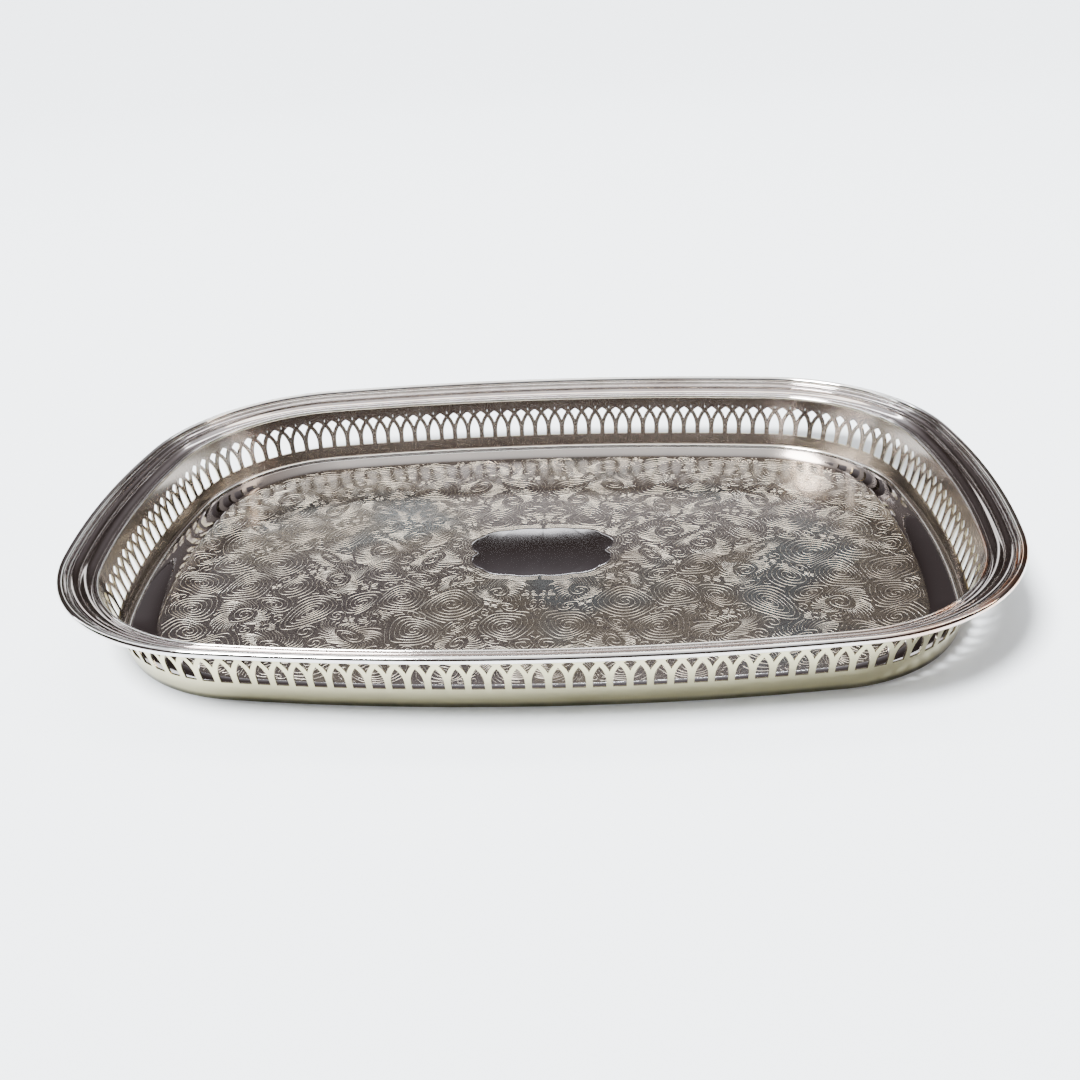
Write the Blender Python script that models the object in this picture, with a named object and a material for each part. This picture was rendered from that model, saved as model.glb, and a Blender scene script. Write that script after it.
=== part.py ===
"""Oblong gallery tray for a dresser, in silver plate.

A floor plate with a dished border, a wall of pierced strip bent round it, a stepped rim
soldered on top of the wall, and the wires that edge the rim and hide the joint at the foot
of the wall.
The strip, the rim and its outer bead are each made in four lengths that butt at the corners.

Frame: metres, +Z up, the origin under the middle of the floor plate. +X runs along the tray.
"""

import math

import bmesh
import bpy

MM = 0.001

# Driving dimensions.
HALF_LENGTH = 200.0 * MM
HALF_WIDTH = 139.5 * MM
LONG_SIDE_RADIUS = 903.0 * MM
SHORT_SIDE_RADIUS = 385.0 * MM
CORNER_RADIUS = 89.0 * MM
BAYS = 140
GAP = 0.3 * MM

# Pierced wall. Offsets run inwards from the tray's outermost edge, heights up from its base.
WALL_THICKNESS = 0.9 * MM
WALL_HEIGHT = 28.0 * MM
WALL_FOOT_OFFSET = 20.8 * MM
WALL_TOP_OFFSET = 14.2 * MM

# One bay of the wall: half a column, a lancet and half a column, in parts of a bay's width.
LANCET_HALF_WIDTH = 0.33
LANCET_SILL = 9.6 * MM
LANCET_SHOULDER = 15.2 * MM
LANCET_TIP = 20.2 * MM
KITE_HALF_WIDTH = 0.26
KITE_FOOT = 18.6 * MM
KITE_WAIST = 22.4 * MM
KITE_TIP = 24.8 * MM

# Floor. Its plain border is dished: it climbs towards the wall from the flat middle.
FLOOR_THICKNESS = 1.5 * MM
BORDER_WIDTH = 11.0 * MM
BORDER_RISE = 1.6 * MM
REED_RADIUS = 0.7 * MM

# Rim.
RIM_THICKNESS = 0.9 * MM
OUTER_BEAD_RADIUS = 1.55 * MM
OUTER_BEAD_HEIGHT = 34.05 * MM
RIM_REED_RADIUS = 0.4 * MM
INNER_BEAD_RADIUS = 0.6 * MM
INNER_BEAD_HEIGHT = 28.95 * MM
# The moulding's top line, from its inner edge out: inset from the tray's edge, and height.
RIM_TOP_LINE = (
    (13.9 * MM, 29.30 * MM),
    (11.2 * MM, 29.90 * MM),
    (8.4 * MM, 31.30 * MM),
    (8.1 * MM, 32.30 * MM),
    (5.2 * MM, 33.20 * MM),
    (3.4 * MM, 33.70 * MM),
)

# How finely curves are drawn.
CURVE_ERROR = 0.12 * MM
WIRE_SIDES = 6
BEAD_SIDES = 8


class Outline:
    """The tray's plan: two bowed long sides, two bowed short sides and four round corners.

    Every arc keeps its centre when the outline is drawn further in, so lines at different
    offsets stay parallel. Distances along the outline are measured at the foot of the wall.
    """

    def __init__(self):
        long_centre = (0.0, HALF_WIDTH - LONG_SIDE_RADIUS)
        short_centre = (HALF_LENGTH - SHORT_SIDE_RADIUS, 0.0)
        corner = circle_crossing(
            long_centre, LONG_SIDE_RADIUS - CORNER_RADIUS,
            short_centre, SHORT_SIDE_RADIUS - CORNER_RADIUS,
        )
        side_end = math.atan2(corner[1] - short_centre[1], corner[0] - short_centre[0])
        corner_end = math.atan2(corner[1] - long_centre[1], corner[0] - long_centre[0])
        half_turn = math.pi
        self.arcs = []
        for quarter, (sx, sy) in enumerate(((1, 1), (-1, 1), (-1, -1), (1, -1))):
            runs = [
                (short_centre, SHORT_SIDE_RADIUS, 0.0, side_end),
                (corner, CORNER_RADIUS, side_end, corner_end),
                (long_centre, LONG_SIDE_RADIUS, corner_end, half_turn / 2),
            ]
            if quarter % 2:
                runs = [(centre, radius, end, start) for centre, radius, start, end in reversed(runs)]
            for centre, radius, start, end in runs:
                placed = (centre[0] * sx, centre[1] * sy)
                self.arcs.append((placed, radius, mirrored(start, sx, sy), mirrored(end, sx, sy)))
        self.lengths = [
            (radius - WALL_FOOT_OFFSET) * turn_between(start, end)
            for centre, radius, start, end in self.arcs
        ]
        self.total = sum(self.lengths)

    def station(self, distance):
        """The centre, outer radius and angle of the outline at a distance along it."""
        left = distance % self.total
        for (centre, radius, start, end), length in zip(self.arcs, self.lengths):
            if left <= length:
                return centre, radius, start + turn_between(start, end) * left / length
            left -= length
        centre, radius, start, end = self.arcs[-1]
        return centre, radius, end

    def point(self, distance, inset, height):
        """The point at a distance along the outline, an inset from its edge and a height."""
        centre, radius, angle = self.station(distance)
        reach = radius - inset
        return (centre[0] + reach * math.cos(angle), centre[1] + reach * math.sin(angle), height)

    def stations(self, begin, end):
        """Distances from begin to end, close enough together to keep within CURVE_ERROR."""
        found = [begin]
        edge = 0.0
        while edge < end:
            for (centre, radius, start, stop), length in zip(self.arcs, self.lengths):
                step_turn = 2 * math.acos(1 - CURVE_ERROR / radius)
                steps = max(1, math.ceil(turn_between(start, stop) / step_turn))
                for step in range(steps):
                    mark = edge + length * step / steps
                    if begin + 2 * MM < mark < end - 2 * MM:
                        found.append(mark)
                edge += length
        found.append(end)
        return found


def circle_crossing(first, first_radius, second, second_radius):
    """Where two circles cross, the crossing that lies furthest towards +X and +Y."""
    dx = second[0] - first[0]
    dy = second[1] - first[1]
    apart = math.hypot(dx, dy)
    along = (first_radius ** 2 - second_radius ** 2 + apart ** 2) / (2 * apart)
    across = math.sqrt(first_radius ** 2 - along ** 2)
    foot = (first[0] + dx * along / apart, first[1] + dy * along / apart)
    sideways = (-dy * across / apart, dx * across / apart)
    crossings = [(foot[0] + sign * sideways[0], foot[1] + sign * sideways[1]) for sign in (1, -1)]
    return max(crossings, key=sum)


def mirrored(angle, sx, sy):
    """An angle of the first quarter, carried to the quarter with these signs of x and y."""
    return math.atan2(sy * math.sin(angle), sx * math.cos(angle)) % (2 * math.pi)


def turn_between(start, end):
    """The turn from start on to end, both taken round the same way."""
    return (end - start) % (2 * math.pi)


OUTLINE = Outline()
BAY = OUTLINE.total / BAYS


def corner_columns():
    """The columns nearest the middles of the corners, where the four lengths of strip meet."""
    side, corner = OUTLINE.lengths[0], OUTLINE.lengths[1]
    first = round((side + corner / 2) / BAY)
    quarter = BAYS // 4
    return [first, 2 * quarter - first, 2 * quarter + first, BAYS - first]


def runs():
    """Name, first column and last column of each of the four lengths, in order round the tray."""
    a, b, c, d = corner_columns()
    return [("back", a, b), ("left", b, c), ("front", c, d), ("right", d, a + BAYS)]


def silver(name, colour, roughness):
    """A polished silver-plate material."""
    material = bpy.data.materials.new(name)
    material.use_nodes = True
    shader = material.node_tree.nodes["Principled BSDF"]
    shader.inputs["Base Color"].default_value = (*colour, 1.0)
    shader.inputs["Metallic"].default_value = 1.0
    shader.inputs["Roughness"].default_value = roughness
    return material


def add_object(name, mesh, material):
    """Link a mesh to the scene as an object with this name and material, its faces outward."""
    shell = bmesh.new()
    shell.from_mesh(mesh)
    bmesh.ops.recalc_face_normals(shell, faces=shell.faces)
    shell.to_mesh(mesh)
    shell.free()
    mesh.materials.append(material)
    mesh.shade_smooth()
    mesh.set_sharp_from_angle(angle=math.radians(35))
    node = bpy.data.objects.new(name, mesh)
    bpy.context.scene.collection.objects.link(node)
    return node


def sweep(name, sections, closed, material):
    """A solid skinned over sections, rings of points in the same order round each.

    closed joins the last section to the first. Otherwise both ends are capped.
    """
    mesh = bpy.data.meshes.new(name)
    shell = bmesh.new()
    rings = [[shell.verts.new(point) for point in section] for section in sections]
    pairs = list(zip(rings, rings[1:]))
    if closed:
        pairs.append((rings[-1], rings[0]))
    for here, there in pairs:
        for index in range(len(here)):
            after = (index + 1) % len(here)
            shell.faces.new((here[index], here[after], there[after], there[index]))
    if not closed:
        shell.faces.new(rings[0])
        shell.faces.new(rings[-1])
    bmesh.ops.triangulate(shell, faces=[face for face in shell.faces if len(face.verts) > 4])
    shell.to_mesh(mesh)
    shell.free()
    return add_object(name, mesh, material)


def swept_along(name, line, first, last, material):
    """Sweep a closed line of (inset, height) pairs along the outline, from first to last."""
    distances = OUTLINE.stations(first, last)
    sections = [[OUTLINE.point(at, inset, height) for inset, height in line] for at in distances]
    return sweep(name, sections, False, material)


def swept_round(name, line, material):
    """Sweep a closed line of (inset, height) pairs all the way round the outline."""
    distances = OUTLINE.stations(0.0, OUTLINE.total)[:-1]
    sections = [[OUTLINE.point(at, inset, height) for inset, height in line] for at in distances]
    return sweep(name, sections, True, material)


def circle_line(inset, height, radius, sides):
    """A round wire's section, as (inset, height) pairs."""
    turns = [2 * math.pi * side / sides for side in range(sides)]
    return [(inset + radius * math.cos(turn), height + radius * math.sin(turn)) for turn in turns]


def wall_inset(height, depth):
    """The wall's inset at a height, for a depth through it from 0 outside to 1 inside."""
    rise = height / WALL_HEIGHT
    outside = WALL_FOOT_OFFSET + (WALL_TOP_OFFSET - WALL_FOOT_OFFSET) * rise
    return outside + WALL_THICKNESS * depth


def half_bay_line():
    """Half a bay of the wall, from a column's middle to a lancet's, without its openings.

    The pairs are parts of a bay and heights, in order round the half bay.
    """
    sill = 0.5 - LANCET_HALF_WIDTH
    return [
        (0.0, 0.0), (0.5, 0.0), (0.5, LANCET_SILL), (sill, LANCET_SILL), (sill, LANCET_SHOULDER),
        (0.5, LANCET_TIP), (0.5, WALL_HEIGHT), (0.0, WALL_HEIGHT),
        (0.0, KITE_TIP), (KITE_HALF_WIDTH, KITE_WAIST), (0.0, KITE_FOOT),
    ]


def solid_end_line():
    """Half a bay at the end of a strip, where the kite over the column is left solid."""
    return half_bay_line()[:8]


def pierced_strip(name, first, last, material):
    """One length of the pierced wall, from the middle of one column to that of another."""
    mesh = bpy.data.meshes.new(name)
    shell = bmesh.new()
    end_trim = GAP / 2 / BAY
    seam = []
    for bay in range(first, last):
        for side in (1, -1):
            column = bay if side == 1 else bay + 1
            at_end = column in (first, last)
            line = solid_end_line() if at_end else half_bay_line()
            marks = [column + side * part for part, height in line]
            marks = [min(max(mark, first + end_trim), last - end_trim) for mark in marks]
            skins = []
            for depth in (0.0, 1.0):
                corners = [
                    shell.verts.new(OUTLINE.point(mark * BAY, wall_inset(height, depth), height))
                    for mark, (part, height) in zip(marks, line)
                ]
                shell.faces.new(corners)
                skins.append(corners)
            for index in range(len(line)):
                after = (index + 1) % len(line)
                if is_cut_edge(line[index], line[after], at_end):
                    seam.append((skins[0][index], skins[0][after], skins[1][after], skins[1][index]))
    for corners in seam:
        shell.faces.new(corners)
    bmesh.ops.remove_doubles(shell, verts=shell.verts, dist=0.001 * MM)
    bmesh.ops.triangulate(shell, faces=shell.faces, ngon_method="EAR_CLIP")
    shell.to_mesh(mesh)
    shell.free()
    return add_object(name, mesh, material)


def is_cut_edge(here, after, at_end):
    """Whether an edge of a half bay is a cut edge, and not a line shared with its neighbour."""
    on_lancet_line = here[0] == after[0] == 0.5
    on_column_line = here[0] == after[0] == 0.0
    return not on_lancet_line and (at_end or not on_column_line)


def make_floor(material):
    """The floor plate: flat in the middle, its border dished up to the foot of the wall."""
    edge = WALL_FOOT_OFFSET + WALL_THICKNESS + GAP
    flat = edge + BORDER_WIDTH
    rings = [
        (flat, 0.0),
        (edge, BORDER_RISE),
        (edge, BORDER_RISE + FLOOR_THICKNESS),
        (flat, FLOOR_THICKNESS),
    ]
    distances = OUTLINE.stations(0.0, OUTLINE.total)[:-1]
    sections = [[OUTLINE.point(at, inset, height) for at in distances] for inset, height in rings]
    return sweep("floor_plate", sections, False, material)


def make_floor_reed(material):
    """The wire in the corner between the floor and the wall."""
    height = BORDER_RISE + FLOOR_THICKNESS + GAP + REED_RADIUS
    lowest_inset = wall_inset(height - REED_RADIUS, 1.0)
    inset = lowest_inset + GAP + REED_RADIUS
    line = circle_line(inset, height, REED_RADIUS, WIRE_SIDES)
    return swept_round("floor_reed", line, material)


def make_rim_wires(bead_material, reed_material):
    """The bead on the rim's inner edge and the reed beside its outer bead."""
    inner = RIM_TOP_LINE[0][0] + GAP + INNER_BEAD_RADIUS
    bead = circle_line(inner, INNER_BEAD_HEIGHT, INNER_BEAD_RADIUS, WIRE_SIDES)
    swept_round("rim_inner_bead", bead, bead_material)
    (inset, height), (next_inset, next_height) = RIM_TOP_LINE[-2:]
    middle = ((inset + next_inset) / 2, (height + next_height) / 2)
    reed = circle_line(middle[0], middle[1] + GAP + RIM_REED_RADIUS, RIM_REED_RADIUS, WIRE_SIDES)
    swept_round("rim_reed", reed, reed_material)


def rim_line():
    """The rim moulding's section: its stepped top line, and the same line again underneath."""
    underside = [(inset, height - RIM_THICKNESS) for inset, height in reversed(RIM_TOP_LINE)]
    return list(RIM_TOP_LINE) + underside


def make_lengths(wall_material, rim_material, bead_material):
    """The wall, the rim moulding and the outer bead, each in four lengths."""
    bead = circle_line(OUTER_BEAD_RADIUS, OUTER_BEAD_HEIGHT, OUTER_BEAD_RADIUS, BEAD_SIDES)
    for side, first, last in runs():
        begin = first * BAY + GAP / 2
        end = last * BAY - GAP / 2
        pierced_strip("gallery_" + side, first, last, wall_material)
        swept_along("rim_" + side, rim_line(), begin, end, rim_material)
        swept_along("outer_bead_" + side, bead, begin, end, bead_material)


def clear_scene():
    """Remove whatever the scene holds."""
    for item in list(bpy.data.objects):
        bpy.data.objects.remove(item, do_unlink=True)


def main():
    """Build the tray."""
    clear_scene()
    floor_silver = silver("floor_silver", (0.70, 0.67, 0.62), 0.22)
    wall_silver = silver("gallery_silver", (0.86, 0.83, 0.72), 0.24)
    rim_silver = silver("rim_silver", (0.80, 0.78, 0.75), 0.10)
    bead_silver = silver("bead_silver", (0.84, 0.82, 0.79), 0.08)
    reed_silver = silver("reed_silver", (0.90, 0.89, 0.86), 0.10)
    make_floor(floor_silver)
    make_floor_reed(reed_silver)
    make_lengths(wall_silver, rim_silver, bead_silver)
    make_rim_wires(bead_silver, reed_silver)


main()
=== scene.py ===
"""The looks of an oblong gallery tray: its fine metalwork, finishes, floor, light and camera."""

import logging
import math
import random
from dataclasses import dataclass
from enum import Enum
from functools import cached_property
from typing import Any, Optional, Sequence

import bmesh
import bpy
import numpy
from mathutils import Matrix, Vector


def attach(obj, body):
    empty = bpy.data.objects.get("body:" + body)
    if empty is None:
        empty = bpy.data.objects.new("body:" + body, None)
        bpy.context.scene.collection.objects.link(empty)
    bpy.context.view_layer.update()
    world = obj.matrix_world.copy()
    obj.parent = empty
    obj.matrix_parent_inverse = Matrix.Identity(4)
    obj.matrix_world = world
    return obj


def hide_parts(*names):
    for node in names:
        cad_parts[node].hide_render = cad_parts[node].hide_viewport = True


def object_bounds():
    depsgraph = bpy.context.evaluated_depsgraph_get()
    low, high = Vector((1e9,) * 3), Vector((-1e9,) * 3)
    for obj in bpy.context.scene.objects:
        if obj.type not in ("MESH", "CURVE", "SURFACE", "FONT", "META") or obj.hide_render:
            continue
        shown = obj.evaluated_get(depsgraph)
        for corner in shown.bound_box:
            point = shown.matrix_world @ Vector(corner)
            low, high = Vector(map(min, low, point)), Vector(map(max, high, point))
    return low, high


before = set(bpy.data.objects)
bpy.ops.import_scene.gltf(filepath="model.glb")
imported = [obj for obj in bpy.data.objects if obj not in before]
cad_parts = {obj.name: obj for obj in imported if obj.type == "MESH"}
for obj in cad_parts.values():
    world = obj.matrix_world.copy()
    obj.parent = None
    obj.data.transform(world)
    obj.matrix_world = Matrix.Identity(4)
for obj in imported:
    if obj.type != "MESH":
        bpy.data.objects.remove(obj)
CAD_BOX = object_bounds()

MM = 0.001
# Points nearer than this are one point: within a piece, and where bays of the wall meet.
WELD = 0.001 * MM
MERGE_BAYS = 0.002 * MM
ROOT = "root"
# Angles in degrees from which an edge is kept crisp: on cut work, and on drawn wire and moulding.
CUT_SHARP = 35.0
DRAWN_SHARP = 38.0
Pair = tuple[float, float]
Colour = tuple[float, float, float]

logging.basicConfig(level=logging.INFO, format="%(message)s")
log = logging.getLogger("tray")


# ---------------------------------------------------------------------------
# Node trees
# ---------------------------------------------------------------------------


class Tree:
    """A node tree, shader or geometry, with one method that makes any node."""

    def __init__(self, tree: bpy.types.NodeTree) -> None:
        """Keep the tree that nodes are added to."""
        self.tree = tree

    def node(
        self,
        kind: str,
        settings: Optional[dict[str, Any]] = None,
        inputs: Optional[dict[Any, Any]] = None,
    ) -> bpy.types.Node:
        """Add a node.

        Args:
            kind: The node's type, such as ShaderNodeMath.
            settings: Its properties, set before its inputs. A ramp takes its stops as "stops".
            inputs: Values, sockets or Values for its input sockets, by name or number.

        Returns:
            The new node.
        """
        made = self.tree.nodes.new(kind)
        for name, value in (settings or {}).items():
            if name == "stops":
                self._set_stops(made.color_ramp, value)
            else:
                setattr(made, name, value)
        for name, value in (inputs or {}).items():
            self.feed(made.inputs[name], value)
        return made

    def feed(self, socket: bpy.types.NodeSocket, value: Any) -> None:
        """Link a socket or Value to an input, or set the input to a plain value.

        Args:
            socket: The input.
            value: What it gets.
        """
        if isinstance(value, Value):
            value = value.socket
        if isinstance(value, bpy.types.NodeSocket):
            self.tree.links.new(value, socket)
        else:
            socket.default_value = value

    def value(self, socket: bpy.types.NodeSocket) -> "Value":
        """Wrap an output socket for maths."""
        return Value(self, socket)

    @staticmethod
    def _set_stops(ramp: bpy.types.ColorRamp, stops: Sequence[tuple[float, Colour]]) -> None:
        """Give a colour ramp these stops, each a place and a colour.

        Args:
            ramp: The ramp.
            stops: Its stops, in order.
        """
        while len(ramp.elements) > 1:
            ramp.elements.remove(ramp.elements[-1])
        ramp.elements[0].position = stops[0][0]
        ramp.elements[0].color = (*stops[0][1], 1.0)
        for place, colour in stops[1:]:
            ramp.elements.new(place).color = (*colour, 1.0)


class Value:
    """A number on a socket. Expressions on values add Math nodes to their tree."""

    def __init__(self, tree: Tree, socket: bpy.types.NodeSocket) -> None:
        """Keep the tree and the socket that carries the number."""
        self.tree = tree
        self.socket = socket

    def _maths(self, operation: str, *operands: Any) -> "Value":
        """Join operands with a Math node and return its result."""
        node = self.tree.node("ShaderNodeMath", {"operation": operation}, dict(enumerate(operands)))
        return Value(self.tree, node.outputs[0])

    def __add__(self, other: Any) -> "Value":
        """self + other."""
        return self._maths("ADD", self, other)

    __radd__ = __add__

    def __mul__(self, other: Any) -> "Value":
        """self * other."""
        return self._maths("MULTIPLY", self, other)

    __rmul__ = __mul__

    def __abs__(self) -> "Value":
        """The size of self, without its sign."""
        return self._maths("ABSOLUTE", self)

    def ramp(self, low: float, high: float) -> "Value":
        """0 up to low, 1 from high, and a smooth climb between, where low may exceed high.

        Args:
            low: Where the climb starts.
            high: Where it ends.

        Returns:
            The new value.
        """
        settings = {"interpolation_type": "SMOOTHSTEP", "clamp": True}
        inputs = {"Value": self, "From Min": low, "From Max": high}
        return Value(self.tree, self.tree.node("ShaderNodeMapRange", settings, inputs).outputs[0])


# ---------------------------------------------------------------------------
# The tray's plan
# ---------------------------------------------------------------------------


@dataclass(frozen=True)
class Arc:
    """One arc of the plan: its centre, its radius at the tray's edge, and its angles."""

    centre: Pair
    radius: float
    start: float
    turn: float


@dataclass(frozen=True)
class Plan:
    """The tray seen from above: bowed sides and round corners, all arcs with fixed centres.

    Distances run anticlockwise along the foot of the wall, from the middle of the right side.
    """

    half_length: float
    half_width: float
    long_radius: float = 903.0 * MM
    short_radius: float = 385.0 * MM
    corner_radius: float = 89.0 * MM
    foot_inset: float = 20.8 * MM
    bays: int = 140

    @cached_property
    def corner(self) -> Vector:
        """The centre of the corner arc in the quarter towards +X and +Y.

        Returns:
            The arc's centre.
        """
        long_centre = Vector((0.0, self.half_width - self.long_radius))
        short_centre = Vector((self.half_length - self.short_radius, 0.0))
        first = self.long_radius - self.corner_radius
        second = self.short_radius - self.corner_radius
        across = short_centre - long_centre
        apart = across.length
        along = (first**2 - second**2 + apart**2) / (2 * apart)
        side = math.sqrt(first**2 - along**2)
        ahead = across / apart
        right = Vector((ahead.y, -ahead.x))
        return long_centre + ahead * along + right * side

    @cached_property
    def arcs(self) -> list[Arc]:
        """The arcs in order round the tray.

        Returns:
            Twelve arcs, anticlockwise from the middle of the right side.
        """
        short = (self.half_length - self.short_radius, 0.0)
        long = (0.0, self.half_width - self.long_radius)
        corner = (self.corner.x, self.corner.y)
        low = math.atan2(corner[1], corner[0] - short[0])
        high = math.atan2(corner[1] - long[1], corner[0])
        quarter = [
            Arc(short, self.short_radius, 0.0, low),
            Arc(corner, self.corner_radius, low, high - low),
            Arc(long, self.long_radius, high, math.pi / 2 - high),
        ]
        found = list(quarter)
        for arc in reversed(quarter):
            start = math.pi - arc.start - arc.turn
            found.append(Arc((-arc.centre[0], arc.centre[1]), arc.radius, start, arc.turn))
        for arc in list(found):
            centre = (-arc.centre[0], -arc.centre[1])
            found.append(Arc(centre, arc.radius, arc.start + math.pi, arc.turn))
        return found

    @cached_property
    def lengths(self) -> list[float]:
        """Each arc's length at the foot of the wall."""
        return [(arc.radius - self.foot_inset) * arc.turn for arc in self.arcs]

    @cached_property
    def total(self) -> float:
        """The length once round, at the foot of the wall."""
        return sum(self.lengths)

    @property
    def bay(self) -> float:
        """The width of one bay of the wall, from column to column."""
        return self.total / self.bays

    def place(self, distance: float, inset: float, height: float) -> Vector:
        """A point of the tray.

        Args:
            distance: How far round the foot of the wall.
            inset: How far in from the tray's outermost edge.
            height: How far above the surface that the tray stands on.

        Returns:
            The point.
        """
        left = distance % self.total
        for arc, length in zip(self.arcs, self.lengths):
            if left <= length:
                break
            left -= length
        angle = arc.start + arc.turn * min(left / length, 1.0)
        reach = arc.radius - inset
        x = arc.centre[0] + reach * math.cos(angle)
        return Vector((x, arc.centre[1] + reach * math.sin(angle), height))

    def inset_at(self, x: float, y: float) -> float:
        """How far in from the tray's outermost edge a point lies.

        Args:
            x: Its place along the tray.
            y: Its place across the tray.

        Returns:
            The inset.
        """
        x, y = abs(x), abs(y)
        depths = [arc.radius - math.dist((x, y), arc.centre) for arc in self.arcs[:3]]
        corner = self.arcs[1]
        angle = math.atan2(y - corner.centre[1], x - corner.centre[0])
        if corner.start <= angle <= corner.start + corner.turn:
            return depths[1]
        return min(depths[0], depths[2])

    @cached_property
    def corner_columns(self) -> list[int]:
        """The columns where the four lengths of strip meet, one near each corner's middle.

        Returns:
            Four column numbers, anticlockwise.
        """
        first = round((self.lengths[0] + self.lengths[1] / 2) / self.bay)
        quarter = self.bays // 4
        return [first, 2 * quarter - first, 2 * quarter + first, self.bays - first]


class Side(Enum):
    """The four lengths that the wall, the rim and the outer bead are made in."""

    BACK = "back"
    LEFT = "left"
    FRONT = "front"
    RIGHT = "right"

    def columns(self, plan: Plan) -> tuple[int, int]:
        """The first and last column of this length.

        Args:
            plan: The tray's plan.

        Returns:
            The two column numbers.
        """
        marks = plan.corner_columns + [plan.corner_columns[0] + plan.bays]
        index = list(Side).index(self)
        return marks[index], marks[index + 1]


# ---------------------------------------------------------------------------
# Finishes
# ---------------------------------------------------------------------------


@dataclass(frozen=True)
class SilverFinish:
    """Polished silver plate, with wiping marks, soft smudges and tarnish, and optional painted shade on
    the inner face and at the foot.
    """

    name: str
    colour: Colour
    tarnish: Colour
    roughness: float
    tarnish_amount: float = 0.35
    wipe: float = 0.04
    relief: float = 0.12
    # Painted shade: the colour of the wall's inner face, darker than the outer face of the same silver,
    # standing in for the shade that face is in.
    painted_inner_shade: Optional[Colour] = None
    worn: Optional[Colour] = None
    # Painted shade: a dark band at the foot of the wall, standing in for the shadow under it;
    # foot_shadow gives the heights over which it fades.
    foot: Optional[Colour] = None
    smudge_scale: float = 38.0
    cloud_scale: float = 9.0
    fine_scale: float = 900.0
    wipe_stretch: tuple[float, float, float] = (30.0, 30.0, 2600.0)
    foot_shadow: Pair = (3.4 * MM, 0.9 * MM)
    mark_depth: float = 0.02 * MM

    def build(self) -> bpy.types.Material:
        """Make the material.

        Returns:
            A material with a Principled shader fed by Object coordinates.
        """
        material = bpy.data.materials.new(self.name)
        material.use_nodes = True
        tree = Tree(material.node_tree)
        shader = material.node_tree.nodes["Principled BSDF"]
        place = tree.node("ShaderNodeTexCoord").outputs["Object"]
        smudge = self.noise(tree, place, self.smudge_scale, 4.0)
        cloud = self.noise(tree, place, self.cloud_scale, 2.0)
        fine = self.noise(tree, place, self.fine_scale, 2.0)
        stretch = {"Vector": place, "Scale": self.wipe_stretch}
        stretched = tree.node("ShaderNodeMapping", None, stretch)
        wiping = self.noise(tree, stretched.outputs[0], 1.0, 3.0)

        stain = (smudge * 0.6 + cloud * 0.4).ramp(0.46, 0.66) * self.tarnish_amount
        colour = self.mix(tree, stain, self.colour, self.tarnish)
        # Painted shade on the wall's inner face, mixed in by the attribute that bay_mesh stores.
        if self.painted_inner_shade is not None:
            painted_inner_shade = tree.node("ShaderNodeAttribute", {"attribute_name": "painted_inner_shade"}).outputs["Fac"]
            colour = self.mix(tree, painted_inner_shade, colour, self.painted_inner_shade)
        # Painted shade: darker towards the base, standing in for the contact shadow under the wall.
        if self.foot is not None:
            level = tree.value(tree.node("ShaderNodeSeparateXYZ", None, {0: place}).outputs[2])
            low = level.ramp(*self.foot_shadow) * (0.6 + smudge * 0.5)
            colour = self.mix(tree, low, colour, self.foot)
        if self.worn is not None:
            colour = self.mix(tree, self._worn(tree, place, smudge), colour, self.worn)
        tree.feed(shader.inputs["Base Color"], colour)
        shader.inputs["Metallic"].default_value = 1.0
        rough = self.roughness * 0.7 + smudge * (self.roughness * 0.6) + fine * self.wipe
        tree.feed(shader.inputs["Roughness"], rough)
        height = wiping * 0.6 + cloud * 2.5 + fine * 0.8
        marks = {"Height": height, "Strength": self.relief, "Distance": self.mark_depth}
        bump = tree.node("ShaderNodeBump", None, marks)
        tree.feed(shader.inputs["Normal"], bump.outputs["Normal"])
        return material

    @staticmethod
    def noise(tree: Tree, vector: Any, scale: float, detail: float) -> Value:
        """Smooth noise between 0 and 1."""
        inputs = {"Vector": vector, "Scale": scale, "Detail": detail}
        return tree.value(tree.node("ShaderNodeTexNoise", None, inputs).outputs["Fac"])

    @staticmethod
    def mix(tree: Tree, factor: Any, first: Any, second: Any) -> bpy.types.NodeSocket:
        """Blend two colours.

        Args:
            tree: The tree to add to.
            factor: How much of the second colour.
            first: A colour or a socket.
            second: A colour or a socket.

        Returns:
            The blended colour's socket.
        """
        node = tree.node("ShaderNodeMix", {"data_type": "RGBA"}, {"Factor": factor})
        for socket, colour in ((node.inputs[6], first), (node.inputs[7], second)):
            tree.feed(socket, (*colour, 1.0) if isinstance(colour, tuple) else colour)
        return node.outputs[2]

    @staticmethod
    def _worn(tree: Tree, place: Any, smudge: Value) -> Value:
        """Where handling has worn the plate thin: patches on the right front corner.

        Args:
            tree: The tree to add to.
            place: The Object coordinates.
            smudge: Noise that breaks the patches up.

        Returns:
            How worn each place is, from 0 to 1.
        """
        parts = tree.node("ShaderNodeSeparateXYZ", None, {0: place})
        x = tree.value(parts.outputs[0])
        y = tree.value(parts.outputs[1])
        corner = x.ramp(100.0 * MM, 170.0 * MM) * y.ramp(-20.0 * MM, -70.0 * MM)
        return corner * smudge.ramp(0.40, 0.56) * 0.8


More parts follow.
